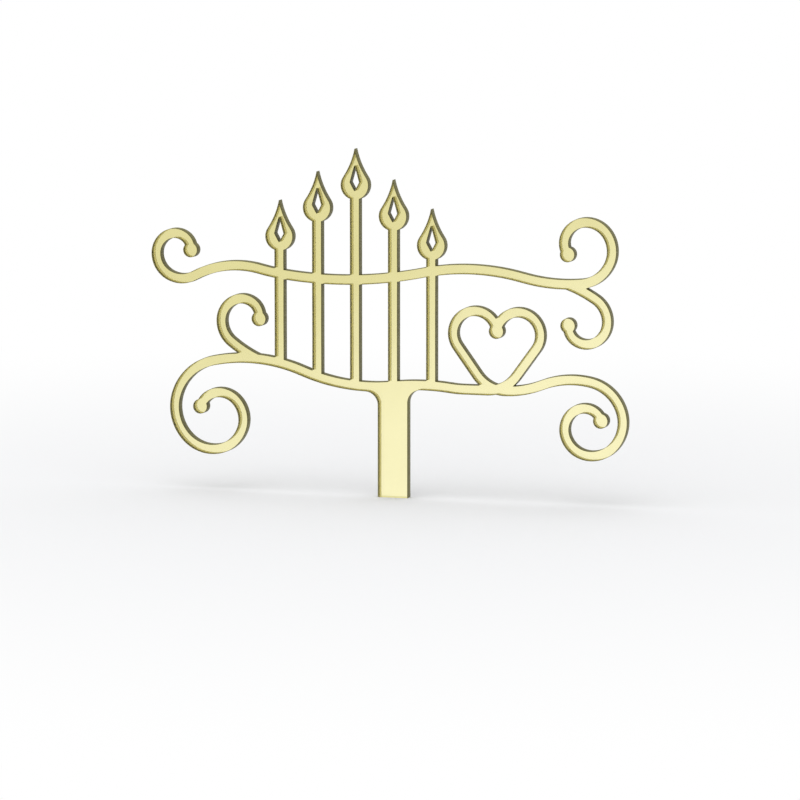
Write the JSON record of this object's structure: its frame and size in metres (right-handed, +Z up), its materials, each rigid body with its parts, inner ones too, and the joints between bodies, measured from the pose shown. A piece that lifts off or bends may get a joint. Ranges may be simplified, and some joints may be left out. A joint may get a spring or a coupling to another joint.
{
  "type": "cake topper",
  "caption": "Flat gold mirror acrylic cake topper: line-drawn candles, a heart and scrolls in two tiers on a flat pointed stake that pushes into the cake.",
  "frame": {"origin": "middle of the stake's width and of the sheet's thickness, at the level of the cake's top surface, where the stake goes in", "axes": "+X to the right seen from the front, +Y to the back, +Z up; the mirrored front looks along -Y and the stake points along -Z"},
  "size_m": [0.1501, 0.003, 0.1556],
  "materials": {
    "tinted_acrylic": "polished gold-tinted clear acrylic with a laser-cut edge",
    "gold_mirror": "metallised mirror behind the tinted sheet",
    "back_paint": "matt grey protective paint"
  },
  "bodies": {
    "root": {"acrylic_sheet": "tinted_acrylic", "mirror_film": "gold_mirror", "back_coat": "back_paint"}
  },
  "joints": []
}
